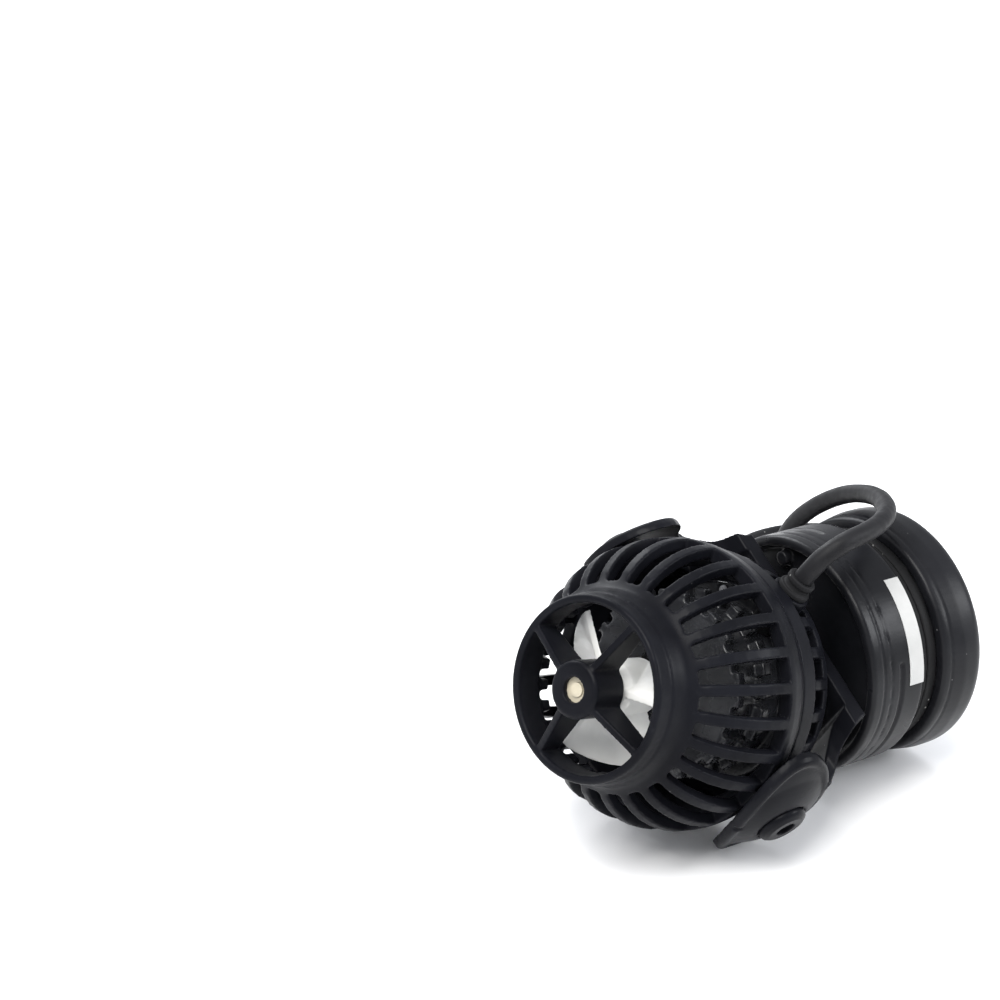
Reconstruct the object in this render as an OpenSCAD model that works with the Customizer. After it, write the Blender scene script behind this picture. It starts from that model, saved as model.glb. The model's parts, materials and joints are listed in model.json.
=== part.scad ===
// Wave maker pump: a propeller pump in a slotted ball cage, carried by a tilting yoke
// on a two-part magnetic mount. Millimetres. It lies on a table: +Z up, table at z = 0.

/* [Placing] */
// Roll of the yoke about the magnet axis, which lowers the near pivot
roll = 32.2; // [28:0.1:36]
// Slope of the magnet axis, back end low
slope = 3.6; // [2:0.1:4]
// Tilt of the pump axis from the magnet axis in the yoke
tilt = 19.3; // [0:0.1:20]
// Height of the pivot centre above the table
pivot_z = 32.25; // [32.25:0.01:34]
// Place of the pivot centre along X, so that the base is centred
pivot_x = -8.65; // [-20:0.05:10]
// Place of the pivot centre along Y, so that the base is centred
pivot_y = 0; // [-10:0.1:10]

/* [Front cage] */
// Distance from the nozzle rim to the pivot centre
nozzle_x = 40.3; // [38:0.1:43]
// Radius of the nozzle mouth
mouth_r = 18; // [17:0.1:18.4]
// Outer radius of the nozzle rim
rim_r = 19.9; // [19.4:0.1:20.4]
// Largest radius of the cage
cage_r = 32; // [31.5:0.1:32.2]
// Number of ribs round the cage
ribs = 26; // [20:1:30]
// Width of a rib
rib_w = 2.4; // [1.8:0.1:2.8]
// Radial depth of a rib
rib_d = 2.6; // [2:0.1:3]
// Distance from the cage's seam to the pivot centre
seam_x = 3.3; // [3:0.1:3.6]

/* [Rotor] */
// Radius of the ceramic shaft
shaft_r = 1.5; // [1.2:0.1:1.8]
// Tip radius of the propeller
prop_r = 17; // [15:0.1:17.2]
// Number of propeller blades
blades = 3; // [2:1:4]
// Radius of the rotor magnet
rotor_r = 7.2; // [6.5:0.1:7.3]

/* [Motor] */
// Outer radius of the motor can
can_r = 18.5; // [18:0.1:19]
// Radius of the rotor well in the can
well_r = 8; // [7.8:0.1:8.2]

/* [Yoke] */
// Half length of the base plate, between the arms
base_y = 24.8; // [24:0.1:25.5]
// Half width of the base plate
base_z = 14.6; // [13:0.1:15]
// Inner radius of the ears, clear of the cage
ear_in = 34.95; // [34.9:0.05:35.1]
// Outer radius of the ears
ear_out = 36.3; // [36.2:0.1:36.4]
// Radius of the pivot pins
pin_r = 2; // [1.6:0.1:2.2]

/* [Magnets] */
// Radius of the wet cup
cup_r = 27.8; // [27:0.1:28.2]
// Distance from the pivot centre to the wet cup's front rim
cup_x = 26.7; // [26.5:0.1:27.5]
// Depth of the wet cup
cup_l = 15.7; // [15:0.1:16.5]
// Thickness of each rubber pad
pad_t = 2.9; // [2:0.1:3]
// Radius of the dry puck at its widest
puck_r = 28.7; // [28:0.1:29]
// Length of the dry puck
puck_l = 12.2; // [11:0.1:13]

/* [Cable] */
// Diameter of the cable
cable_d = 4.4; // [3.5:0.1:5]
// Radius of the middle turn of the coil
coil_r = 24; // [22:0.5:26]

/* [Hidden] */
$fn = 96;
// Radial clearance of a running fit
fit = 0.05;
pivot = [pivot_x, pivot_y, pivot_z];

// Nozzle, hub and the cage's dome; the dome's section is an ellipse centred at (dome_x, cage_r - dome_ar)
pitch = 360 / ribs;
hub_front = nozzle_x + 3.4;
hub_r = 6.2;
hub_l = 9.6;
bush_l = 5;
bush_r = 3.1;
sleeve_r = 4.2;
collar_l = 8.6;
band_x = 10.8;
dome_x = -10.3;
dome_ax = 22.4;
dome_ar = 16;
rib_a = 8.9;
vane_a = -9.5;

// Bayonet: the skirt of the front cage inside the ring of the rear cage
skirt_r = 27.2;
skirt_t = 1.5;
ring_in = 27.4;
lug_at = -70;
lug_a = 14;
twist = 14;

// Rear cage, its pivot bosses, screws and cable boss
rear_r = 30;
back_x = 10.5;
boss_r = 4.6;
boss_end = 33.8;
head_at = 36.4;
screw_r = 20.5;
gland_x = 5;
gland_a = 6.2;
gland_r = 33.5;

// Propeller
prop_x = -33.3;
prop_l = 12;
prop_hub_r = 6;
blade_a = -10;

// Yoke: base plate, ears and the pods on them
plate_x = 20.5;
plate_t = 3.5;
hub_pin_r = 5;
ear_x = 11.8;
ear_z = 18.5;
pod_x = 9.8;
pod_z = 16;
pod_y = 13.8;
pod_r = 23.8;

// Magnet holders and pads, along the magnet axis; the nub is the stop peg on the wet cup's floor
floor_x = cup_x + 2.5;
body_x = cup_x + 5.7;
cup_end = cup_x + cup_l;
pad_gap = 0.1;
puck_x = cup_end + 2 * pad_t + pad_gap;
puck_end = puck_x + puck_l;
pad_r = 25.6;
magnet_r = 24;
nub_a = 42;
nub_r = 22.6;

// ---- frames -------------------------------------------------------------------
// Yoke frame: origin at the pivot centre, +x along the magnet axis away from the nozzle,
// +y along the pivot axis towards the far ear.
module in_yoke() translate(pivot) rotate([roll, slope, 0]) children();
// Pump frame: the yoke frame turned by the tilt, +x along the pump axis away from the nozzle.
module in_pump() in_yoke() rotate([0, tilt, 0]) children();
// A profile of (radius, x) points turned about the x axis.
module turned(points) rotate([0, 90, 0]) rotate_extrude() polygon(points);
module rod(r, x0, x1) translate([x0, 0, 0]) rotate([0, 90, 0]) cylinder(r = r, h = x1 - x0);
module tube(r1, r0, x0, x1) difference() {
  rod(r1, x0, x1);
  rod(r0, x0 - 1, x1 + 1);
}
// Points of an arc of an ellipse in (radius, x), from angle a0 to a1.
function oval(cx, cr, ax, ar, a0, a1, n) =
  [for (i = [0:n]) let (a = a0 + (a1 - a0) * i / n) [cr + ar * sin(a), cx - ax * cos(a)]];

// ---- front cage ---------------------------------------------------------------
module cage_rib() {
  outer = oval(dome_x, cage_r - dome_ar, dome_ax, dome_ar, 17, 90, 9);
  inner = oval(dome_x, cage_r - dome_ar, dome_ax - rib_d, dome_ar - rib_d, 90, 9, 8);
  start = [[mouth_r + 0.5, -nozzle_x + 6.5], [rim_r, -nozzle_x + 6.5]];
  rotate([0, 90, 0]) rotate([90, 0, 0]) linear_extrude(rib_w, center = true)
    polygon(concat(start, outer, [[cage_r - 1.4, -5], [cage_r - rib_d - 2, -5]], inner));
}
module nozzle_collar() turned([
  [mouth_r, -nozzle_x + 0.4], [mouth_r + 0.5, -nozzle_x], [rim_r - 0.4, -nozzle_x],
  [rim_r, -nozzle_x + 0.5], [rim_r + 0.1, -nozzle_x + 4], [rim_r + 0.4, -nozzle_x + 6.5],
  [rim_r + 1.4, -nozzle_x + collar_l], [rim_r - 0.2, -nozzle_x + collar_l + 0.4],
  [mouth_r, -nozzle_x + collar_l - 1.5]
]);
module ring_band() turned([
  [cage_r, -band_x], [cage_r, -9], [cage_r - 0.5, -6.2], [rear_r + 0.3, -seam_x - 0.4],
  [rear_r, -seam_x], [skirt_r, -seam_x], [skirt_r, 0.8], [skirt_r - skirt_t, 0.8],
  [skirt_r - skirt_t, -seam_x - 1.5], [cage_r - rib_d - 0.6, -band_x]
]);
module bayonet_lug(a, r0, r1, x0, x1, half) rotate([a, 0, 0]) intersection() {
  tube(r1, r0, x0, x1);
  rotate([90 - half, 0, 0]) translate([x0 - 1, 0, 0]) cube([x1 - x0 + 2, 40, 40]);
  rotate([half, 0, 0]) translate([x0 - 1, 0, 0]) cube([x1 - x0 + 2, 40, 40]);
}
module spider_vane(a) rotate([a, 0, 0]) rotate([90, 0, 0]) linear_extrude(1.6, center = true)
  polygon([[-hub_front + 0.6, hub_r - 1], [-nozzle_x + 0.3, mouth_r + 0.6], [-nozzle_x + 6, mouth_r + 0.6],
    [-hub_front + hub_l, hub_r - 1]]);
module front_cage() color([0.07, 0.07, 0.08]) in_pump() {
  nozzle_collar();
  ring_band();
  for (i = [0:ribs - 1]) rotate([rib_a + i * pitch, 0, 0]) cage_rib();
  for (i = [0:2]) bayonet_lug(i * 120 + lug_at, skirt_r - 0.5, skirt_r + 1.3, -1, 0.7, lug_a / 2);
}
module spider() color([0.07, 0.07, 0.08]) in_pump() difference() {
  union() {
    intersection() {
      for (i = [0:3]) spider_vane(i * 90 + vane_a);
      rod(mouth_r, -hub_front, -nozzle_x + collar_l);
    }
    turned([[0, -hub_front], [hub_r - 0.6, -hub_front], [hub_r, -hub_front + 0.6],
      [hub_r, -hub_front + hub_l], [0, -hub_front + hub_l]]);
  }
  rod(sleeve_r, -hub_front + 1.6, -hub_front + hub_l + 1);
  rod(2.7, -hub_front - 1, -hub_front + hub_l);
}
module front_bush_sleeve() color([0.1, 0.1, 0.1]) in_pump()
  tube(sleeve_r, bush_r, -hub_front + 1.6, -hub_front + 1.6 + bush_l);
module front_bush() color([0.85, 0.82, 0.72]) in_pump()
  tube(bush_r, shaft_r + fit, -hub_front + 1.6, -hub_front + 1.6 + bush_l);

// ---- rotor ----------------------------------------------------------------------
module blade(a) rotate([a, 0, 0]) translate([prop_x + 0.5, 0, 0]) rotate([0, 90, 0])
  linear_extrude(prop_l - 1, twist = 62, slices = 8, $fn = 8)
  translate([prop_hub_r - 1.2, -0.8]) square([prop_r - prop_hub_r + 1.2, 1.6]);
module propeller() color([0.93, 0.93, 0.9]) in_pump() difference() {
  union() {
    turned([[0, prop_x], [prop_hub_r - 1.5, prop_x], [prop_hub_r, prop_x + 2], [prop_hub_r, prop_x + prop_l],
      [0, prop_x + prop_l]]);
    for (i = [0:blades - 1]) blade(i * 360 / blades + blade_a);
  }
  rod(shaft_r, prop_x - 1, prop_x + prop_l + 1);
  rod(3.4, prop_x + 6, prop_x + prop_l + 1);
}
module rotor_sleeve() color([0.9, 0.9, 0.88]) in_pump() difference() {
  union() {
    rod(3.4, prop_x + 6, -19);
    rod(4.6, prop_x + prop_l, -9);
    rod(rotor_r - 1.2, -9, 9.5);
  }
  rod(shaft_r, -40, 20);
}
module rotor_magnet() color([0.3, 0.3, 0.32]) in_pump() tube(rotor_r, rotor_r - 1.2, -8.5, 9);
module shaft() color([0.9, 0.88, 0.8]) in_pump() rod(shaft_r, -hub_front + 1.2, 14.2);
module front_washer() color([0.85, 0.85, 0.82]) in_pump() tube(3.2, shaft_r, prop_x - 0.75, prop_x - 0.05);
module rear_washer() color([0.85, 0.85, 0.82]) in_pump() tube(3.2, shaft_r, 9.55, 10.25);
module rear_bush() color([0.85, 0.82, 0.72]) in_pump() tube(bush_r, shaft_r + fit, 10.4, 14.4);
module rear_bush_sleeve() color([0.1, 0.1, 0.1]) in_pump() tube(sleeve_r, bush_r, 10.4, 14.4);

// ---- motor and rear cage --------------------------------------------------------
module at_screws() for (i = [0:3]) rotate([i * 90 + 45, 0, 0]) translate([0, 0, screw_r]) children();
module gland_axis() translate([gland_x, 0, 0]) rotate([-gland_a, 0, 0]) children();
module rear_rib() rotate([90, 0, 0]) linear_extrude(rib_w, center = true)
  polygon([[0.5, 27.6], [0.5, 29.7], [4.5, 29.3], [9.4, 27.7], [9.4, 24.8], [7.5, 25.4]]);
module rear_cage() color([0.08, 0.08, 0.09]) in_pump() difference() {
  union() {
    turned([[ring_in - 0.4, -seam_x + 0.15], [rear_r - 0.1, -seam_x + 0.15], [rear_r, -seam_x + 0.4],
      [rear_r, 1.6], [ring_in - 0.4, 1.6]]);
    for (i = [0:ribs - 1]) rotate([rib_a + i * pitch, 0, 0]) rear_rib();
    turned([[can_r + 0.1, 8], [27.7, 8], [27.2, back_x], [can_r + 0.1, back_x]]);
    for (s = [-1, 1]) intersection() {
      translate([0, s * 26, 0]) rotate([-90 * s, 0, 0]) cylinder(r = boss_r, h = boss_end - 26);
      translate([-seam_x + 0.35, -40, -10]) cube([20, 80, 20]);
    }
    for (s = [-1, 1]) translate([1.2, s * 26.9 - 1.5, -4]) cube([8.2, 3, 8]);
    gland_axis() translate([0, 0, 22.6]) cylinder(r = 4.4, h = 7);
    gland_axis() translate([0, -3, 22.6]) cube([4.5, 6, 5.4]);
  }
  for (i = [0:2]) {
    bayonet_lug(i * 120 + lug_at + twist / 2, 20, skirt_r + 1.6, -1.3, 1, lug_a / 2 + twist / 2 + 2);
    bayonet_lug(i * 120 + lug_at + twist, 20, skirt_r + 1.8, -seam_x, 0.8, lug_a / 2 + 1);
  }
  rod(ring_in, -seam_x - 1, 1);
  gland_axis() cylinder(r = 3, h = 40);
  for (s = [-1, 1]) rotate([-90 * s, 0, 0]) cylinder(r = pin_r, h = 40);
  at_screws() rod(1.1, 7, 12);
}
module motor_can() color([0.1, 0.1, 0.11]) in_pump() difference() {
  union() {
    rod(can_r, -11, back_x);
    turned([[0, back_x], [can_r - 1.6, back_x], [15.6, 12.2], [12.6, 15], [9, 17.3], [0, 17.3]]);
    tube(22.4, can_r - 1, 5.4, 7.9);
    for (i = [0:ribs - 1]) rotate([rib_a + (i + 0.3) * pitch, 0, 0])
      translate([-4.5, -1.4, can_r - 0.8]) cube([2.8, 2.8, 3.4]);
  }
  rod(well_r, -12, 10.35);
  rod(4.2, 10, 14.4);
  tube(can_r - 1.2, well_r + 0.8, -11.5, 9);
  gland_axis() translate([0, 0, 12]) cylinder(r = 3, h = 12);
  at_screws() rod(1.1, 5, 8);
}
module can_screws() color([0.6, 0.6, 0.62]) in_pump() at_screws() {
  rod(1.1, 5.6, back_x);
  rod(2, back_x, back_x + 1.2);
}
module motor_cover() color([0.16, 0.16, 0.17]) in_pump() difference() {
  union() {
    rod(can_r + 0.6, -14, -11.05);
    for (i = [0:ribs - 1]) rotate([rib_a + (i + 0.65) * pitch, 0, 0])
      translate([-13.8, -1.3, can_r - 0.4]) cube([2.5, 2.6, 2.6]);
  }
  rod(well_r, -15, -10);
}
module stator_core() color([0.45, 0.45, 0.48]) in_pump() difference() {
  rod(16.6, -5.5, 5.5);
  rod(9, -6, 6);
  for (i = [0:5]) rotate([i * 60, 0, 0]) translate([-6, -2.2, 10.2]) cube([12, 4.4, 4.6]);
}
module stator_coils() color([0.7, 0.35, 0.15]) in_pump() for (i = [0:5]) rotate([i * 60 + 30, 0, 0])
  for (s = [-1, 1]) translate([s * 7 - 1.4, -3.6, 10]) cube([2.8, 7.2, 5]);
module potting() color([0.05, 0.05, 0.06]) in_pump() tube(can_r - 1.25, well_r + 0.85, -10.9, -8.6);
module pivot_pins() color([0.09, 0.09, 0.1]) in_yoke() for (s = [-1, 1]) rotate([-90 * s, 0, 0]) difference() {
  union() {
    translate([0, 0, ring_in]) cylinder(r = pin_r, h = 37 - ring_in);
    translate([0, 0, head_at]) rotate_extrude()
      polygon([[0, 0], [5.6, 0], [5.6, 0.9], [5.2, 1.6], [4.2, 2.2], [0, 2.2]]);
  }
  translate([0, 0, head_at + 1]) cylinder(r = 2.2, h = 2);
}

// ---- cable ------------------------------------------------------------------------
module strain_relief() color([0.06, 0.06, 0.07]) in_pump() gland_axis() difference() {
  union() {
    translate([0, 0, 17]) cylinder(r = 3, h = gland_r - 17);
    translate([0, 0, 29.7]) cylinder(r = 3.7, h = 1.2);
    translate([0, 0, gland_r - 1.2]) cylinder(r = 3.3, h = 1.2);
  }
  translate([0, 0, gland_r - 6]) cylinder(r = cable_d / 2, h = 7);
}

// The cable's route: points on its centre line from the strain relief to the coil.
route = [
  [6.8, -10.8, 54.2], [9.6, -13.8, 60.4], [11.5, -15.1, 63.3], [14.3, -16.2, 65.5], [18.1, -16.6, 66.7],
  [22.5, -16.2, 66.9], [27.3, -14.7, 66.6], [32, -12.3, 66.1], [36.6, -8.7, 65.3], [40.6, -4, 64.3],
  [44.1, 1.8, 62.8], [46.5, 8.2, 60.6], [47.9, 15.1, 57.5], [48.2, 21.8, 53.3], [47.9, 28, 48.1],
  [47.7, 33.2, 42], [47.5, 37, 34.5], [47, 40.5, 27], [46.6, 44.5, 19.5], [46.2, 49, 12.8],
  [46, 54.2, 7], [46.4, 59.8, 3.4], [48, 65.3, 2.3], [50.8, 70.4, 2.2], [54.8, 74.9, 2.2],
  [59.8, 78.6, 2.2], [65.4, 81.2, 2.2], [71.3, 82.8, 2.2]
];
// The tail's route: from the coil's top turn to the connector.
tail = [
  [98, 42.2, 11], [94.1, 37.4, 13], [88.3, 33.8, 15.4], [83, 31.4, 17], [77.8, 30.2, 18.2], [73.2, 30.8, 18.8],
  [69.4, 33, 18.9], [66.4, 36.4, 18.9]
];
coil_at = [81, 52, 0];
turns_out = 3;
turns_up = 3;
plug_at = [66.4, 36.4, 18.9];
plug_turn = 122;
cord_sides = 10;

function unit(v) = v / norm(v);
// A smooth curve through the points: Catmull-Rom, two steps a span.
function along(p, i, t) = let (
  n = len(p) - 1, a = p[max(i - 1, 0)], b = p[i], c = p[min(i + 1, n)], d = p[min(i + 2, n)])
  0.5 * ((2 * b) + (c - a) * t + (2 * a - 5 * b + 4 * c - d) * t * t + (3 * b - a - 3 * c + d) * t * t * t);
function smooth(p) = concat([for (i = [0:len(p) - 2]) for (t = [0, 0.5]) along(p, i, t)], [p[len(p) - 1]]);
function heading(p, i) = unit(p[min(i + 1, len(p) - 1)] - p[max(i - 1, 0)]);
function side(h) = unit(cross(h, abs(h[2]) > 0.9 ? [1, 0, 0] : [0, 0, 1]));
function ring(c, h, u, r, n) = [for (k = [0:n - 1])
  c + r * (cos(360 * k / n) * u + sin(360 * k / n) * cross(h, u))];
// The side vector carried from ring to ring, so that the tube does not twist.
function carried(p, i) = i == 0 ? side(heading(p, 0)) :
  let (u = carried(p, i - 1), h = heading(p, i)) unit(u - (u * h) * h);
module swept(points, r, n) {
  p = smooth(points);
  last = len(p) - 1;
  rings = [for (i = [0:last]) ring(p[i], heading(p, i), carried(p, i), r, n)];
  walls = [for (i = [0:last - 1]) for (k = [0:n - 1])
    [i * n + k, i * n + (k + 1) % n, (i + 1) * n + (k + 1) % n, (i + 1) * n + k]];
  caps = [[for (k = [n - 1:-1:0]) k], [for (k = [0:n - 1]) last * n + k]];
  polyhedron(points = [for (r = rings) for (q = r) q], faces = concat(walls, caps), convexity = 8);
}
module cable() color([0.08, 0.08, 0.09]) swept(route, cable_d / 2, cord_sides);
module cable_tail() color([0.08, 0.08, 0.09]) swept(tail, cable_d / 2, cord_sides);
module cable_coil() color([0.08, 0.08, 0.09]) translate(coil_at) rotate_extrude()
  translate([coil_r - turns_out * cable_d / 2, 0]) square([turns_out * cable_d, turns_up * cable_d]);
module coil_tie() color([0.05, 0.05, 0.05]) translate(coil_at) rotate([0, 0, -20]) difference() {
  translate([coil_r - turns_out * cable_d / 2 - 0.8, -2.5, 0.01])
    cube([turns_out * cable_d + 1.6, 5, turns_up * cable_d + 0.8]);
  translate([coil_r - turns_out * cable_d / 2 - 0.01, -3, -1])
    cube([turns_out * cable_d + 0.02, 6, turns_up * cable_d + 1.01]);
}
module at_plug() translate(plug_at) rotate([0, 90, plug_turn]) children();
module connector_body() color([0.09, 0.09, 0.1]) at_plug() difference() {
  union() {
    rotate_extrude()
      polygon([[0, -4], [2.9, -4], [3.6, 4], [4.4, 6], [4.4, 14], [3.9, 14], [3.9, 24], [0, 24]]);
    for (i = [0:7]) rotate([0, 0, i * 45]) translate([4.2, -0.5, 6.5]) cube([0.5, 1, 7]);
  }
  translate([0, 0, 18]) cylinder(r = 3.2, h = 7);
  translate([0, 0, -5]) cylinder(r = cable_d / 2, h = 6);
}
module connector_nut() color([0.1, 0.1, 0.11]) at_plug() difference() {
  union() {
    translate([0, 0, 14.3]) cylinder(r = 5.1, h = 11);
    for (i = [0:15]) rotate([0, 0, i * 22.5]) translate([4.9, -0.4, 14.8]) cube([0.5, 0.8, 10]);
  }
  translate([0, 0, 14]) cylinder(r = 4, h = 12);
}
module connector_pins() color([0.85, 0.7, 0.35]) at_plug() for (i = [0:2]) rotate([0, 0, i * 120])
  translate([1.6, 0, 15]) cylinder(r = 0.5, h = 8.2);

// ---- yoke ----------------------------------------------------------------------------
arm_out = [[plate_x + plate_t, base_y], [22.4, base_y + 0.2], [20, base_y + 1.5], [17.6, 28.6], [15.4, 31.8],
  [13, 34], [10, 35.2]];
arm_in = [[10, 33.2], [12.5, 31.6], [14.5, 29], [16.5, 26], [18.4, 22.8], [plate_x, 21]];
waist = [[plate_x + plate_t + 1, base_z], [plate_x - 0.5, base_z], [18.6, 10.6], [17, 8], [15.4, 6.2],
  [13.6, 5.6],
  [11.6, 6.6], [9.8, 9]];
function leaf(rx, rz, x0) = [for (a = [0:10:350]) [x0 + rx * cos(a), rz * sin(a)]];
function both(p) = concat(p, [for (i = [len(p) - 1:-1:0]) [p[i][0], -p[i][1]]]);
// A prism of a shape in (x, z), reaching along y.
module prism_y(y0, y1) translate([0, y1, 0]) rotate([90, 0, 0]) linear_extrude(y1 - y0) children();
module arm() {
  intersection() {
    translate([0, 0, -20]) linear_extrude(40)
      polygon(concat(arm_out, arm_in, [[plate_x, 10], [plate_x + plate_t, 10]]));
    prism_y(9, 40) union() {
      polygon(both(waist));
      polygon(leaf(ear_x, ear_z, -0.3));
    }
  }
  difference() {
    intersection() {
      union() {
        sphere(r = ear_out);
        intersection() {
          translate([0, pod_y, 0]) sphere(r = pod_r);
          prism_y(20, 40) polygon(leaf(pod_x, pod_z, -0.3));
        }
      }
      prism_y(20, 40) polygon(leaf(ear_x, ear_z, -0.3));
    }
    sphere(r = ear_in);
  }
}
module yoke() color([0.07, 0.07, 0.08]) in_yoke() difference() {
  union() {
    translate([plate_x, -10.5, -base_z]) cube([plate_t, 21, 2 * base_z]);
    arm();
    mirror([0, 1, 0]) arm();
    rod(9, plate_x + 1, floor_x - 0.1);
    rod(hub_pin_r, floor_x - 1, floor_x + 3.1);
  }
  for (s = [-1, 1]) rotate([-90 * s, 0, 0]) {
    cylinder(r = pin_r + fit, h = 40);
    translate([0, 0, head_at - 0.1]) cylinder(r = 5.95, h = 4);
  }
  rod(1.3, plate_x + 5, floor_x + 4);
}
module hub_screw() color([0.6, 0.6, 0.62]) in_yoke() {
  rod(1.3, plate_x + 5, floor_x + 4.4);
  rod(3, floor_x + 4.4, floor_x + 5.8);
}
module hub_washer() color([0.62, 0.62, 0.64]) in_yoke() tube(7.6, 1.3, floor_x + 3.15, floor_x + 4.35);

// ---- wet cup ---------------------------------------------------------------------------
module wet_front_ring() color([0.08, 0.08, 0.09]) in_yoke() turned([
  [cup_r - 2.2, cup_x], [cup_r - 0.7, cup_x], [cup_r, cup_x + 0.7], [cup_r, body_x - 0.35],
  [25.1, body_x - 0.35],
  [25.1, floor_x], [cup_r - 3.2, floor_x]]);
module wet_cup() color([0.08, 0.08, 0.09]) in_yoke() difference() {
  union() {
    rod(25, floor_x, body_x);
    turned([[0, body_x - 0.3], [cup_r - 0.8, body_x - 0.3], [cup_r, body_x + 0.3], [cup_r, cup_end - 0.8],
      [cup_r - 0.8, cup_end], [0, cup_end]]);
    rotate([nub_a, 0, 0]) translate([0, nub_r, 0]) rod(1.7, floor_x - 2.4, floor_x + 1);
  }
  rod(hub_pin_r + fit, floor_x - 1, floor_x + 4);
  rod(8.2, floor_x + 3, floor_x + 8);
  rod(magnet_r + 0.1, body_x + 1.2, cup_end + 1);
}
module wet_plate() color([0.5, 0.5, 0.52]) in_yoke() tube(magnet_r, 9, body_x + 1.2, body_x + 2.9);
module wet_magnet() color([0.55, 0.55, 0.58]) in_yoke() rod(magnet_r, body_x + 3, body_x + 7.9);
module wet_lid() color([0.1, 0.1, 0.11]) in_yoke() rod(magnet_r, body_x + 8, cup_end);
module pad(x0, x1) rod(pad_r, x0, x1);
module wet_pad() color([0.04, 0.04, 0.04]) in_yoke() pad(cup_end, cup_end + pad_t);
module wet_label() color([0.92, 0.92, 0.9]) in_yoke() intersection() {
  tube(cup_r + 0.12, cup_r, cup_x + 11, cup_end - 0.6);
  rotate([2, 0, 0]) mirror([0, 1, 0]) cube(60);
  rotate([53 - 90, 0, 0]) mirror([0, 1, 0]) cube(60);
}

// ---- dry puck --------------------------------------------------------------------------
module dry_shell() color([0.1, 0.1, 0.11]) in_yoke() difference() {
  turned(concat([[0, puck_x], [cup_r - 0.6, puck_x], [cup_r, puck_x + 0.6], [puck_r, puck_x + 6],
    [puck_r, puck_end - 3]],
    [for (a = [15:15:90]) [puck_r - 3 + 3 * cos(a), puck_end - 3 + 3 * sin(a)]], [[0, puck_end]]));
  rod(magnet_r + 0.9, puck_x - 1, puck_end - 2);
}
module dry_plate() color([0.5, 0.5, 0.52]) in_yoke() rod(magnet_r + 0.8, puck_end - 3.8, puck_end - 2);
module dry_magnet() color([0.55, 0.55, 0.58]) in_yoke() rod(magnet_r, puck_x + 2.1, puck_end - 3.9);
module dry_lid() color([0.1, 0.1, 0.11]) in_yoke() rod(magnet_r + 0.8, puck_x, puck_x + 2);
module dry_pad() color([0.04, 0.04, 0.04]) in_yoke() pad(cup_end + pad_t + pad_gap, puck_x);

front_cage();
spider();
front_bush();
front_bush_sleeve();
propeller();
rotor_sleeve();
rotor_magnet();
shaft();
front_washer();
rear_washer();
rear_bush();
rear_bush_sleeve();
rear_cage();
motor_cover();
motor_can();
stator_core();
stator_coils();
potting();
can_screws();
pivot_pins();
strain_relief();
cable();
cable_coil();
cable_tail();
coil_tie();
connector_body();
connector_nut();
connector_pins();
yoke();
hub_washer();
hub_screw();
wet_front_ring();
wet_cup();
wet_plate();
wet_magnet();
wet_lid();
wet_pad();
wet_label();
dry_shell();
dry_plate();
dry_magnet();
dry_lid();
dry_pad();
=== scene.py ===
"""The looks of the wave maker pump: moulded shells, rubber, ceramic, the propeller and the cable."""

import json
import math

import bmesh
import bpy
import numpy as np
from mathutils import Matrix, Vector, kdtree


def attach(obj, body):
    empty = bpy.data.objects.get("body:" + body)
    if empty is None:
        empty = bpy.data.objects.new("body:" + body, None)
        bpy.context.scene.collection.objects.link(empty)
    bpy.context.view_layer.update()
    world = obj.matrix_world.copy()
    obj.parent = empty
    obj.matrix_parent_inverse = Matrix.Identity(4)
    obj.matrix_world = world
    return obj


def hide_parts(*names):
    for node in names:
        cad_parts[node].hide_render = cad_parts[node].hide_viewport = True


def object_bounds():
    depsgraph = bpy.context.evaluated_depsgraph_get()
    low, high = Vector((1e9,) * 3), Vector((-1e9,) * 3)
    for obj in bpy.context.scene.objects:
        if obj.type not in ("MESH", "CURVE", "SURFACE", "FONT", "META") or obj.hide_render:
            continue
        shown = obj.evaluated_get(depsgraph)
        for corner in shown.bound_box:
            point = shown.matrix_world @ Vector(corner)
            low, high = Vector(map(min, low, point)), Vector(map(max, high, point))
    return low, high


MM = 0.001

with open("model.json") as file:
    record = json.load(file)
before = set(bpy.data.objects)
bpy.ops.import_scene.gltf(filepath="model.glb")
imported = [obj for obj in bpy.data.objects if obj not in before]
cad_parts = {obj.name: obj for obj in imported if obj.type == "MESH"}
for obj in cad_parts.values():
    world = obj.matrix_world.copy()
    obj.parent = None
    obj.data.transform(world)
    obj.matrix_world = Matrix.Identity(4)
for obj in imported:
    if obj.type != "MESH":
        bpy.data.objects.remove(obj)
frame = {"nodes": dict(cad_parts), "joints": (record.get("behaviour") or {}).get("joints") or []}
cad_box = [list(corner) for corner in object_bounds()]
joints = {joint["name"]: joint for joint in frame["joints"]}
pivot = Vector(joints["yoke_tilt"]["pos_m"])
across = Vector(joints["yoke_tilt"]["axis"]).normalized()


def placed(axis):
    """The matrix from millimetres in a frame with +x along axis and +y along the pivot axis."""
    x = Vector(axis).normalized()
    z = x.cross(across)
    turn = Matrix((x, across, z)).transposed().to_4x4()
    return Matrix.Translation(pivot) @ turn @ Matrix.Scale(MM, 4)


IN_YOKE = placed(joints["mount_swivel"]["axis"])
IN_PUMP = placed(joints["cage_twist"]["axis"])


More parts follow.
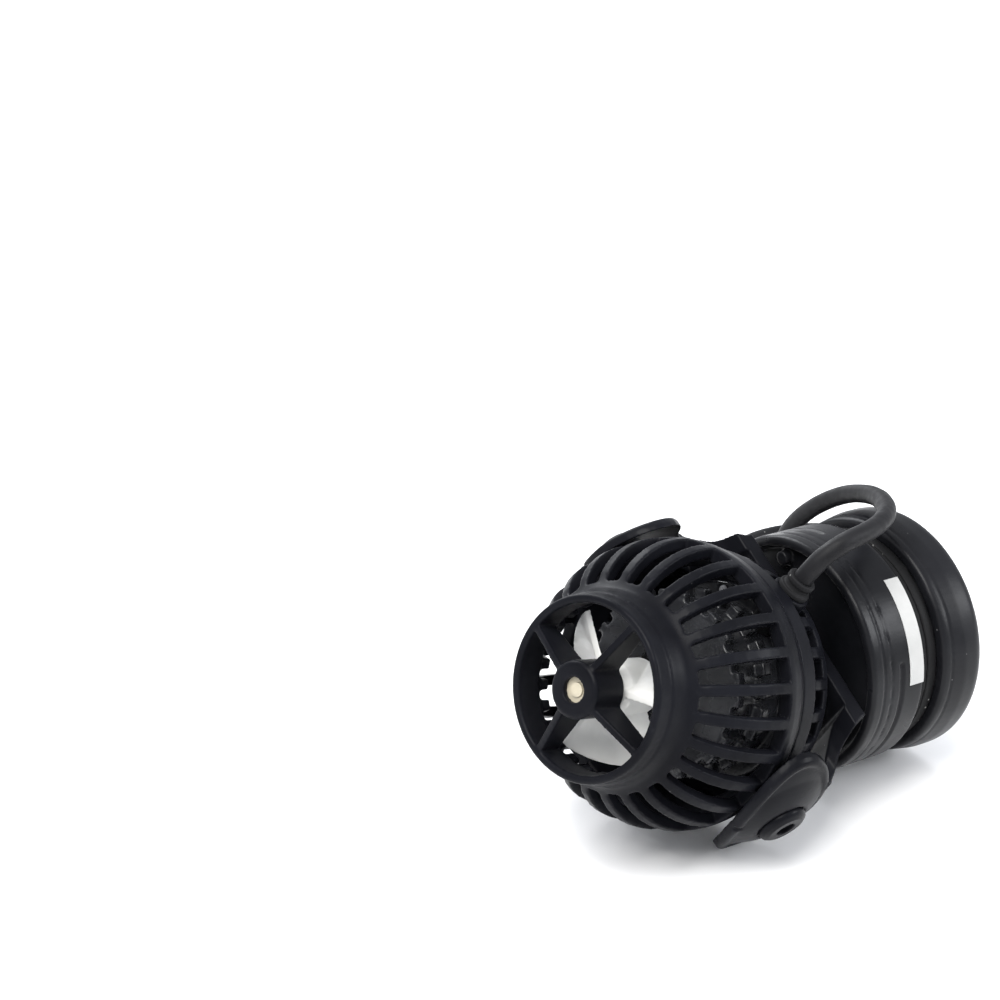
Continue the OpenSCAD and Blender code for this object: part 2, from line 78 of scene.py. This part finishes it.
# ---- materials ------------------------------------------------------------------
class Graph:
    """A short way to write a material's nodes."""

    def __init__(self, name):
        self.material = bpy.data.materials.new(name)
        self.material.use_nodes = True
        self.tree = self.material.node_tree
        self.shader = self.tree.nodes["Principled BSDF"]
        self.place = self.add("ShaderNodeTexCoord").outputs["Object"]

    def add(self, kind, **values):
        node = self.tree.nodes.new(kind)
        for key, value in values.items():
            setattr(node, key, value)
        return node

    def link(self, source, target):
        self.tree.links.new(source, target)

    def noise(self, scale, detail=4.0, stretch=None):
        node = self.add("ShaderNodeTexNoise")
        node.inputs["Scale"].default_value = scale
        node.inputs["Detail"].default_value = detail
        place = self.place
        if stretch:
            mapping = self.add("ShaderNodeMapping")
            mapping.inputs["Scale"].default_value = stretch
            self.link(place, mapping.inputs["Vector"])
            place = mapping.outputs["Vector"]
        self.link(place, node.inputs["Vector"])
        return node.outputs["Fac"]

    def ramp(self, source, low, high, start, end):
        node = self.add("ShaderNodeMapRange")
        for key, value in (("From Min", low), ("From Max", high), ("To Min", start), ("To Max", end)):
            node.inputs[key].default_value = value
        self.link(source, node.inputs["Value"])
        return node.outputs["Result"]

    def times(self, one, other):
        node = self.add("ShaderNodeMath", operation="MULTIPLY")
        self.link(one, node.inputs[0])
        self.link(other, node.inputs[1])
        return node.outputs[0]

    def mix(self, share, one, other):
        node = self.add("ShaderNodeMix", data_type="RGBA")
        self.link(share, node.inputs["Factor"])
        for socket, value in ((node.inputs["A"], one), (node.inputs["B"], other)):
            if isinstance(value, tuple):
                socket.default_value = (*value, 1.0)
            else:
                self.link(value, socket)
        return node.outputs["Result"]

    def bump(self, source, strength, depth):
        node = self.add("ShaderNodeBump")
        node.inputs["Strength"].default_value = strength
        node.inputs["Distance"].default_value = depth
        self.link(source, node.inputs["Height"])
        return node.outputs["Normal"]

    def specks(self, per_metre, size, share):
        """A mask of small round specks of dust in a share of the cells."""
        cells = self.add("ShaderNodeTexVoronoi")
        cells.inputs["Scale"].default_value = per_metre
        self.link(self.place, cells.inputs["Vector"])
        dot = self.ramp(cells.outputs["Distance"], size, size * 0.5, 0.0, 1.0)
        parts = self.add("ShaderNodeSeparateColor")
        self.link(cells.outputs["Color"], parts.inputs["Color"])
        kept = self.ramp(parts.outputs["Red"], 1.0 - share, 1.01 - share, 0.0, 1.0)
        return self.times(dot, kept)

    def edges(self):
        """A mask of the convex edges, where a moulding rubs and turns paler."""
        geometry = self.add("ShaderNodeNewGeometry")
        return self.ramp(geometry.outputs["Pointiness"], 0.515, 0.58, 0.0, 1.0)

    def finish(self, colour, roughness, normal=None, metallic=0.0, specular=0.5):
        self.link(colour, self.shader.inputs["Base Color"])
        self.link(roughness, self.shader.inputs["Roughness"])
        if normal:
            self.link(normal, self.shader.inputs["Normal"])
        self.shader.inputs["Metallic"].default_value = metallic
        self.shader.inputs["Specular IOR Level"].default_value = specular
        return self.material


def moulded(name, dark, pale, rough, dust=0.04, worn=0.15, specular=0.15):
    """Injection-moulded plastic: a fine spark-eroded grain, a faint flow mottle, pale edges and dust."""
    g = Graph(name)
    flow = g.noise(70, 5)
    grain = g.noise(2600, 3)
    colour = g.mix(g.ramp(flow, 0.35, 0.65, 0.0, 1.0), dark, pale)
    rubbed = g.times(g.edges(), g.ramp(g.noise(400, 4), 0.4, 0.65, 0.0, worn))
    colour = g.mix(rubbed, colour, tuple(c * 2.2 + 0.02 for c in pale))
    specks = g.times(g.specks(520, 0.11, dust), g.ramp(flow, 0.3, 0.7, 0.4, 0.9))
    colour = g.mix(specks, colour, (0.2, 0.2, 0.2))
    roughness = g.ramp(g.noise(160, 5), 0.3, 0.7, rough - 0.06, rough + 0.07)
    return g.finish(colour, roughness, g.bump(grain, 0.35, 0.00003), specular=specular)


def rubber(name, dark, pale):
    """Matt moulded rubber, faintly mottled."""
    g = Graph(name)
    flow = g.noise(120, 5)
    colour = g.mix(g.ramp(flow, 0.3, 0.7, 0.0, 1.0), dark, pale)
    colour = g.mix(g.specks(520, 0.15, 0.1), colour, (0.25, 0.25, 0.24))
    roughness = g.ramp(flow, 0.3, 0.7, 0.55, 0.72)
    return g.finish(colour, roughness, g.bump(g.noise(1900, 4), 0.4, 0.00004), specular=0.15)


def jacket(name):
    """The cable's matt PVC jacket."""
    g = Graph(name)
    flow = g.noise(180, 5)
    colour = g.mix(g.ramp(flow, 0.3, 0.7, 0.0, 1.0), (0.006, 0.006, 0.007), (0.012, 0.012, 0.0135))
    colour = g.mix(g.specks(600, 0.14, 0.08), colour, (0.25, 0.25, 0.24))
    roughness = g.ramp(g.noise(500, 3), 0.3, 0.7, 0.42, 0.58)
    return g.finish(colour, roughness, g.bump(g.noise(2200, 2), 0.25, 0.00003), specular=0.15)


def translucent(name, dark, pale, rough):
    """White plastic, ceramic or paper, which light enters a little."""
    g = Graph(name)
    colour = g.mix(g.ramp(g.noise(90, 5), 0.35, 0.65, 0.0, 1.0), dark, pale)
    colour = g.mix(g.specks(500, 0.12, 0.05), colour, (0.5, 0.48, 0.44))
    roughness = g.ramp(g.noise(260, 4), 0.3, 0.7, rough - 0.05, rough + 0.08)
    material = g.finish(colour, roughness, g.bump(g.noise(1500, 3), 0.15, 0.00003))
    g.shader.inputs["Subsurface Weight"].default_value = 0.12
    g.shader.inputs["Subsurface Radius"].default_value = (0.003, 0.003, 0.003)
    g.shader.inputs["Subsurface Scale"].default_value = 0.5
    return material


def metal(name, dark, pale, rough):
    """Bare or plated metal with fine machining lines."""
    g = Graph(name)
    lines = g.noise(900, 4, stretch=(1, 1, 14))
    colour = g.mix(g.ramp(lines, 0.3, 0.7, 0.0, 1.0), dark, pale)
    roughness = g.ramp(g.noise(700, 4), 0.3, 0.7, rough - 0.08, rough + 0.1)
    return g.finish(colour, roughness, g.bump(lines, 0.2, 0.00002), metallic=1.0)


MATERIALS = {
    "cage": moulded("cage_plastic", (0.004, 0.0042, 0.0058), (0.0075, 0.0079, 0.0105), 0.36, specular=0.06),
    "yoke": moulded("yoke_plastic", (0.004, 0.0042, 0.0056), (0.0075, 0.0078, 0.0102), 0.34, specular=0.07),
    "motor": moulded("motor_plastic", (0.014, 0.0145, 0.017), (0.024, 0.025, 0.029), 0.26, specular=0.45),
    "propeller": translucent("propeller_plastic", (0.74, 0.74, 0.71), (0.84, 0.84, 0.82), 0.34),
    "ceramic": translucent("ceramic", (0.42, 0.38, 0.28), (0.52, 0.47, 0.36), 0.24),
    "ferrite": metal("ferrite", (0.06, 0.06, 0.066), (0.11, 0.11, 0.118), 0.55),
    "steel": metal("plated_steel", (0.5, 0.5, 0.52), (0.66, 0.66, 0.67), 0.3),
    "copper": metal("copper_wire", (0.5, 0.22, 0.08), (0.72, 0.36, 0.15), 0.32),
    "potting": moulded("epoxy", (0.01, 0.01, 0.012), (0.018, 0.018, 0.02), 0.18, dust=0.02, worn=0.0),
    "rubber": rubber("soft_rubber", (0.006, 0.006, 0.007), (0.011, 0.011, 0.012)),
    "cable": jacket("cable_jacket"),
    "tie": moulded("tie_nylon", (0.005, 0.005, 0.005), (0.009, 0.009, 0.009), 0.3),
    "connector": moulded("connector_plastic", (0.006, 0.006, 0.007), (0.011, 0.011, 0.012), 0.42),
    "contact": metal("gold_plate", (0.7, 0.5, 0.18), (0.86, 0.68, 0.32), 0.22),
    "cup": moulded("cup_plastic", (0.0045, 0.0047, 0.0058), (0.0085, 0.0088, 0.0106), 0.32),
    "puck": moulded("puck_plastic", (0.005, 0.0052, 0.0064), (0.0095, 0.0098, 0.0118), 0.34, dust=0.08),
    "pad": rubber("pad_rubber", (0.0045, 0.0045, 0.005), (0.009, 0.009, 0.0095)),
    "label": translucent("label_paper", (0.4, 0.4, 0.39), (0.46, 0.46, 0.45), 0.5),
}
SLOT_OF = {
    "cage": ["front_cage", "spider", "rear_cage"],
    "yoke": ["yoke", "pivot_pins"],
    "motor": ["motor_can", "motor_cover"],
    "propeller": ["propeller", "rotor_sleeve"],
    "ceramic": ["front_bush", "shaft", "rear_bush", "front_washer", "rear_washer"],
    "ferrite": ["rotor_magnet", "wet_magnet", "dry_magnet"],
    "steel": ["can_screws", "hub_screw", "hub_washer", "wet_plate", "dry_plate", "stator_core"],
    "copper": ["stator_coils"],
    "potting": ["potting"],
    "rubber": ["front_bush_sleeve", "rear_bush_sleeve", "strain_relief"],
    "cable": ["cable", "cable_coil", "cable_tail"],
    "tie": ["coil_tie"],
    "connector": ["connector_body", "connector_nut"],
    "contact": ["connector_pins"],
    "cup": ["wet_front_ring", "wet_cup", "wet_lid"],
    "puck": ["dry_shell", "dry_lid"],
    "pad": ["wet_pad", "dry_pad"],
    "label": ["wet_label"],
}


def paint(piece, slot):
    piece.data.materials.clear()
    piece.data.materials.append(MATERIALS[slot])


for slot, names in SLOT_OF.items():
    for name in names:
        paint(frame["nodes"][name], slot)


# ---- shapes ---------------------------------------------------------------------
def link(name, mesh):
    piece = bpy.data.objects.new(name, mesh)
    bpy.context.scene.collection.objects.link(piece)
    return piece


def revolve(profile, steps=96):
    """A closed solid turned about x from a closed profile of (x, radius) points in millimetres."""
    shape = bmesh.new()
    rings = []
    for i in range(steps):
        turn = 2 * math.pi * i / steps
        rings.append([shape.verts.new((x, -r * math.sin(turn), r * math.cos(turn))) for x, r in profile])
    for one, two in zip(rings, rings[1:] + rings[:1]):
        for k in range(len(profile)):
            n = (k + 1) % len(profile)
            shape.faces.new((one[k], one[n], two[n], two[k]))
    bmesh.ops.remove_doubles(shape, verts=shape.verts, dist=1e-5)
    bmesh.ops.recalc_face_normals(shape, faces=shape.faces)
    return shape


def swept_band(centres, normals, width, height):
    """A closed band with a round back, laid along centres with its back along normals."""
    shape = bmesh.new()
    section = [(math.cos(a), math.sin(a)) for a in np.linspace(0, 2 * math.pi, 16, endpoint=False)]
    rings = []
    for i, (centre, normal) in enumerate(zip(centres, normals)):
        ahead = centres[min(i + 1, len(centres) - 1)] - centres[max(i - 1, 0)]
        beside = ahead.cross(normal).normalized()
        wide, high = beside * width / 2, normal * height
        rings.append([shape.verts.new(centre + wide * c + high * s) for c, s in section])
    for one, two in zip(rings, rings[1:]):
        for k in range(len(section)):
            n = (k + 1) % len(section)
            shape.faces.new((one[k], one[n], two[n], two[k]))
    shape.faces.new(rings[0])
    shape.faces.new(list(reversed(rings[-1])))
    bmesh.ops.recalc_face_normals(shape, faces=shape.faces)
    return shape


def soft_solid(name, nodes, body, slot, voxel, passes, extras=()):
    """One piece with the CAD nodes' shape and any extra shapes, each with its matrix, blended and with
    moulded edges. It stands for those nodes. voxel is in millimetres."""
    whole = bmesh.new()
    for node in nodes:
        whole.from_mesh(frame["nodes"][node].data)
    bmesh.ops.remove_doubles(whole, verts=whole.verts, dist=2e-7)
    for shape, where in extras:
        shape.transform(where)
        part = bpy.data.meshes.new("part")
        shape.to_mesh(part)
        shape.free()
        whole.from_mesh(part)
        bpy.data.meshes.remove(part)
    mesh = bpy.data.meshes.new(name)
    whole.to_mesh(mesh)
    whole.free()
    piece = link(name, mesh)
    remesh = piece.modifiers.new("voxels", "REMESH")
    remesh.mode = "VOXEL"
    remesh.voxel_size = voxel * MM
    smooth = piece.modifiers.new("soften", "SMOOTH")
    smooth.factor = 0.5
    smooth.iterations = passes
    bake(piece)
    paint(piece, slot)
    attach(piece, body)
    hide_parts(*nodes)
    return piece


def bake(piece):
    """Applies the piece's modifiers and shades it smooth."""
    graph = bpy.context.evaluated_depsgraph_get()
    ready = bpy.data.meshes.new_from_object(piece.evaluated_get(graph))
    piece.modifiers.clear()
    piece.data = ready
    for face in ready.polygons:
        face.use_smooth = True


def round_zone(piece, where, start, end, passes):
    """Rounds the corners of the part of a piece between two places along the x axis, in millimetres."""
    to_local = where.inverted()
    inside = [v.index for v in piece.data.vertices if start < (to_local @ v.co).x < end]
    group = piece.vertex_groups.new(name="zone")
    group.add(inside, 1.0, "REPLACE")
    smooth = piece.modifiers.new("round", "SMOOTH")
    smooth.factor = 0.5
    smooth.iterations = passes
    smooth.vertex_group = group.name
    bake(piece)


def carve(piece, where, points, width, depth):
    """Presses a soft groove along points, all in millimetres."""
    tree = kdtree.KDTree(len(points))
    for i, point in enumerate(points):
        tree.insert(where @ Vector(point), i)
    tree.balance()
    vertices = piece.data.vertices
    normals = [v.normal.copy() for v in vertices]
    for vertex, normal in zip(vertices, normals):
        distance = tree.find(vertex.co)[2] / (width * MM / 2)
        if distance < 1:
            vertex.co -= normal * depth * MM * (1 - distance * distance) ** 2
    piece.data.update()


def arc(x, radius, start, end):
    """Points of an arc about the x axis, from start to end degrees."""
    angles = np.radians(np.linspace(start, end, int((end - start) / 0.6)))
    return [(x, -radius * math.sin(a), radius * math.cos(a)) for a in angles]


# ---- cable ----------------------------------------------------------------------
ROUTE = [
    (6.8, -10.8, 54.2), (9.6, -13.8, 60.4), (11.5, -15.1, 63.3), (14.3, -16.2, 65.5), (18.1, -16.6, 66.7),
    (22.5, -16.2, 66.9), (27.3, -14.7, 66.6), (32, -12.3, 66.1), (36.6, -8.7, 65.3), (40.6, -4, 64.3),
    (44.1, 1.8, 62.8), (46.5, 8.2, 60.6), (47.9, 15.1, 57.5), (48.2, 21.8, 53.3), (47.9, 28, 48.1),
    (47.7, 33.2, 42), (47.5, 37, 34.5), (47, 40.5, 27), (46.6, 44.5, 19.5), (46.2, 49, 12.8), (46, 54.2, 7),
    (46.4, 59.8, 3.4), (48, 65.3, 2.3), (50.8, 70.4, 2.2), (54.8, 74.9, 2.2), (59.8, 78.6, 2.2),
    (65.4, 81.2, 2.2), (71.3, 82.8, 2.2),
]
TAIL = [
    (98, 42.2, 11), (94.1, 37.4, 13), (88.3, 33.8, 15.4), (83, 31.4, 17), (77.8, 30.2, 18.2),
    (73.2, 30.8, 18.8), (69.4, 33, 18.9), (66.4, 36.4, 18.9),
]
CABLE_D = 4.4
COIL_AT = (81.0, 52.0)
COIL_R = 24.0
# Angles around the coil, in degrees: where the cable joins it, where a turn starts to move over to its next
# seat, and where a turn ends.
LEAD_IN = 107.5
RAMP_START = 150.0
TURN_END = -30.0
TURN_STEP = 8.0
# How far a climbing turn bows clear of its neighbours, and over which angles the bow comes and goes.
BOW = 1.7
BOW_LEAD = 40.0
BOW_RISE = 60.0
BOW_FALL = 50.0


def ease(t):
    t = min(1.0, max(0.0, t))
    return t * t * (3 - 2 * t)


def smooth_curve(points, steps):
    """Catmull-Rom through the points."""
    p = [np.array(q, float) for q in points]
    out = []
    for i in range(len(p) - 1):
        a, b, c, d = p[max(i - 1, 0)], p[i], p[i + 1], p[min(i + 2, len(p) - 1)]
        for t in np.arange(steps) / steps:
            out.append(0.5 * ((2 * b) + (c - a) * t + (2 * a - 5 * b + 4 * c - d) * t ** 2
                              + (3 * b - a - 3 * c + d) * t ** 3))
    return out + [p[-1]]


def coil_turns():
    """The coil's centre line: three layers of three turns, wound in, out and in again."""
    radii = [COIL_R + CABLE_D, COIL_R, COIL_R - CABLE_D]
    seats = []
    for layer in range(3):
        seats += [(r, CABLE_D * (layer + 0.5)) for r in (radii if layer != 1 else radii[::-1])]
    start = math.hypot(ROUTE[-1][0] - COIL_AT[0], ROUTE[-1][1] - COIL_AT[1])
    spans = [(LEAD_IN, (start, seats[0][1]), seats[0], LEAD_IN)]
    spans += [(TURN_END + 360, one, two, RAMP_START) for one, two in zip(seats, seats[1:] + seats[-1:])]
    out = []
    for begin, one, two, ramp in spans:
        for angle in np.arange(begin, TURN_END, -TURN_STEP)[int(begin == LEAD_IN):]:
            share = ease((ramp - angle) / (ramp - TURN_END))
            bow = 0.0
            if one[0] == two[0] and one[1] != two[1]:
                bow = BOW * ease((RAMP_START + BOW_LEAD - angle) / BOW_RISE)
                bow *= ease((angle - TURN_END) / BOW_FALL)
                bow = math.copysign(bow, one[0] - COIL_R)
            radius = one[0] + (two[0] - one[0]) * share + bow
            height = one[1] + (two[1] - one[1]) * share
            a = math.radians(angle)
            x, y = COIL_AT[0] + radius * math.cos(a), COIL_AT[1] + radius * math.sin(a)
            out.append(np.array((x, y, height)))
    return out


line = smooth_curve(ROUTE, 5) + coil_turns() + smooth_curve(TAIL, 5)
curve = bpy.data.curves.new("power_cable", "CURVE")
curve.dimensions = "3D"
curve.bevel_depth = CABLE_D * MM / 2
curve.bevel_resolution = 5
curve.use_fill_caps = True
spline = curve.splines.new("POLY")
spline.points.add(len(line) - 1)
for point, place in zip(spline.points, line):
    point.co = (*(place * MM), 1.0)
spline.use_smooth = True
cable = bpy.data.objects.new("power_cable", curve)
bpy.context.scene.collection.objects.link(cable)
paint(cable, "cable")
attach(cable, "motor")
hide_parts("cable", "cable_coil", "cable_tail")

tie = soft_solid("cable_tie", ["coil_tie"], "motor", "tie", 0.25, 3)
plug_shell = soft_solid("plug_body", ["connector_body"], "motor", "connector", 0.18, 4)
plug_ring = soft_solid("plug_nut", ["connector_nut"], "motor", "connector", 0.18, 4)

# ---- pump -----------------------------------------------------------------------
# The smooth collar behind the nozzle, from which the slots start, as (x, radius).
COLLAR = [
    (-36, 20.3), (-33.5, 20.75), (-32.2, 21.2), (-31.2, 22.1), (-30.5, 22.9), (-30.3, 22.4), (-31, 20.9),
    (-32.6, 19.3), (-36, 18.9),
]
front = soft_solid("intake_cage", ["front_cage", "spider"], "cage", "cage", 0.3, 6,
                   extras=[(revolve(COLLAR), IN_PUMP)])
round_zone(front, IN_PUMP, -34.5, -29.5, 12)
soft_solid("impeller", ["propeller"], "rotor", "propeller", 0.2, 8)
soft_solid("rear_cage_shell", ["rear_cage"], "motor", "cage", 0.3, 5)
soft_solid("cable_strain_relief", ["strain_relief"], "motor", "rubber", 0.2, 3)
soft_solid("motor_end_cover", ["motor_cover"], "motor", "motor", 0.35, 4)
soft_solid("motor_housing", ["motor_can"], "motor", "motor", 0.35, 4)

# The raised rim of each ear: an ellipse laid on a sphere about the pivot centre, and almost closed.
EAR_SPHERE = 36.1
EAR_X, EAR_Z = 10.7, 17.2
EAR_HALF_TURN = 178
EAR_RIM_WIDTH = 2.2
EAR_RIM_HEIGHT = 0.95


def ear_rim(side):
    """Points and outward directions along an ear's edge, in the yoke frame."""
    points = []
    for a in np.radians(np.linspace(-EAR_HALF_TURN, EAR_HALF_TURN, 90)):
        x, z = EAR_X * math.cos(a) - 0.3, EAR_Z * math.sin(a)
        points.append(Vector((x, side * math.sqrt(EAR_SPHERE ** 2 - x * x - z * z), z)))
    return points, [p.normalized() for p in points]


rims = [(swept_band(*ear_rim(side), EAR_RIM_WIDTH, EAR_RIM_HEIGHT), IN_YOKE) for side in (-1, 1)]
arms = soft_solid("pivot_yoke", ["yoke"], "yoke_arm", "yoke", 0.25, 9, extras=rims)
for side in (-1, 1):
    inner = [(x * 0.8, y * 1.012, z * 0.86) for x, y, z in ear_rim(side)[0]]
    carve(arms, IN_YOKE, inner, 1.3, 0.45)
soft_solid("pivot_knobs", ["pivot_pins"], "motor", "yoke", 0.2, 3)

# The wet cup's broken groove and its seam, and the dry puck's seam, run around the magnets' axis.
wet = soft_solid("wet_magnet_cup", ["wet_front_ring", "wet_cup"], "wet_side", "cup", 0.35, 4)
carve(wet, IN_YOKE, arc(35.4, 27.8, 42, 322), 1.5, 0.5)
carve(wet, IN_YOKE, arc(30.1, 27.8, 0, 360), 0.9, 0.2)
soft_solid("wet_rubber_pad", ["wet_pad"], "wet_side", "pad", 0.35, 4)
soft_solid("dry_rubber_pad", ["dry_pad"], "dry_puck", "pad", 0.35, 4)
puck = soft_solid("dry_magnet_puck", ["dry_shell"], "dry_puck", "puck", 0.4, 5)
carve(puck, IN_YOKE, arc(50.6, 28.2, 0, 360), 0.9, 0.2)

# ---- floor, light and camera ------------------------------------------------------
floor_mesh = bpy.data.meshes.new("floor")
floor_shape = bmesh.new()
bmesh.ops.create_grid(floor_shape, x_segments=2, y_segments=2, size=3.0)
floor_shape.to_mesh(floor_mesh)
floor_shape.free()
floor = link("floor", floor_mesh)
floor.location.z = cad_box[0][2] - 0.0002
paper = Graph("floor_paper")
paper_colour = paper.mix(paper.noise(3, 3), (0.9, 0.9, 0.9), (0.93, 0.93, 0.93))
floor.data.materials.append(paper.finish(paper_colour, paper.ramp(paper.noise(40, 3), 0.3, 0.7, 0.55, 0.65)))

world = bpy.data.worlds.new("studio")
world.use_nodes = True
world.node_tree.nodes["Background"].inputs["Color"].default_value = (0.93, 0.95, 1.0, 1.0)
world.node_tree.nodes["Background"].inputs["Strength"].default_value = 0.8
bpy.context.scene.world = world
bpy.context.scene.view_settings.view_transform = "Standard"


def lamp(name, place, aim, size, watts, colour):
    light = bpy.data.lights.new(name, "AREA")
    light.energy = watts
    light.size = size
    light.color = colour
    lit = bpy.data.objects.new(name, light)
    bpy.context.scene.collection.objects.link(lit)
    lit.location = place
    lit.rotation_euler = (Vector(aim) - Vector(place)).to_track_quat("-Z", "Y").to_euler()


lamp("key", (-0.35, -0.15, 0.75), (0, 0, 0.03), 0.5, 9.0, (1.0, 0.99, 0.97))
lamp("side", (0.55, -0.5, 0.4), (0, 0, 0.03), 0.3, 3.5, (0.95, 0.97, 1.0))
lamp("back", (0.1, 0.7, 0.5), (0, 0, 0.03), 0.5, 5.0, (0.95, 0.97, 1.0))

camera_data = bpy.data.cameras.new("view")
camera_data.lens = 77.07
camera_data.sensor_width = 36.0
camera = bpy.data.objects.new("view", camera_data)
bpy.context.scene.collection.objects.link(camera)
camera.location = (-0.27888, -0.31497, 0.27163)
camera.rotation_euler = (math.radians(64.703), math.radians(-0.215), math.radians(-34.424))
bpy.context.scene.camera = camera
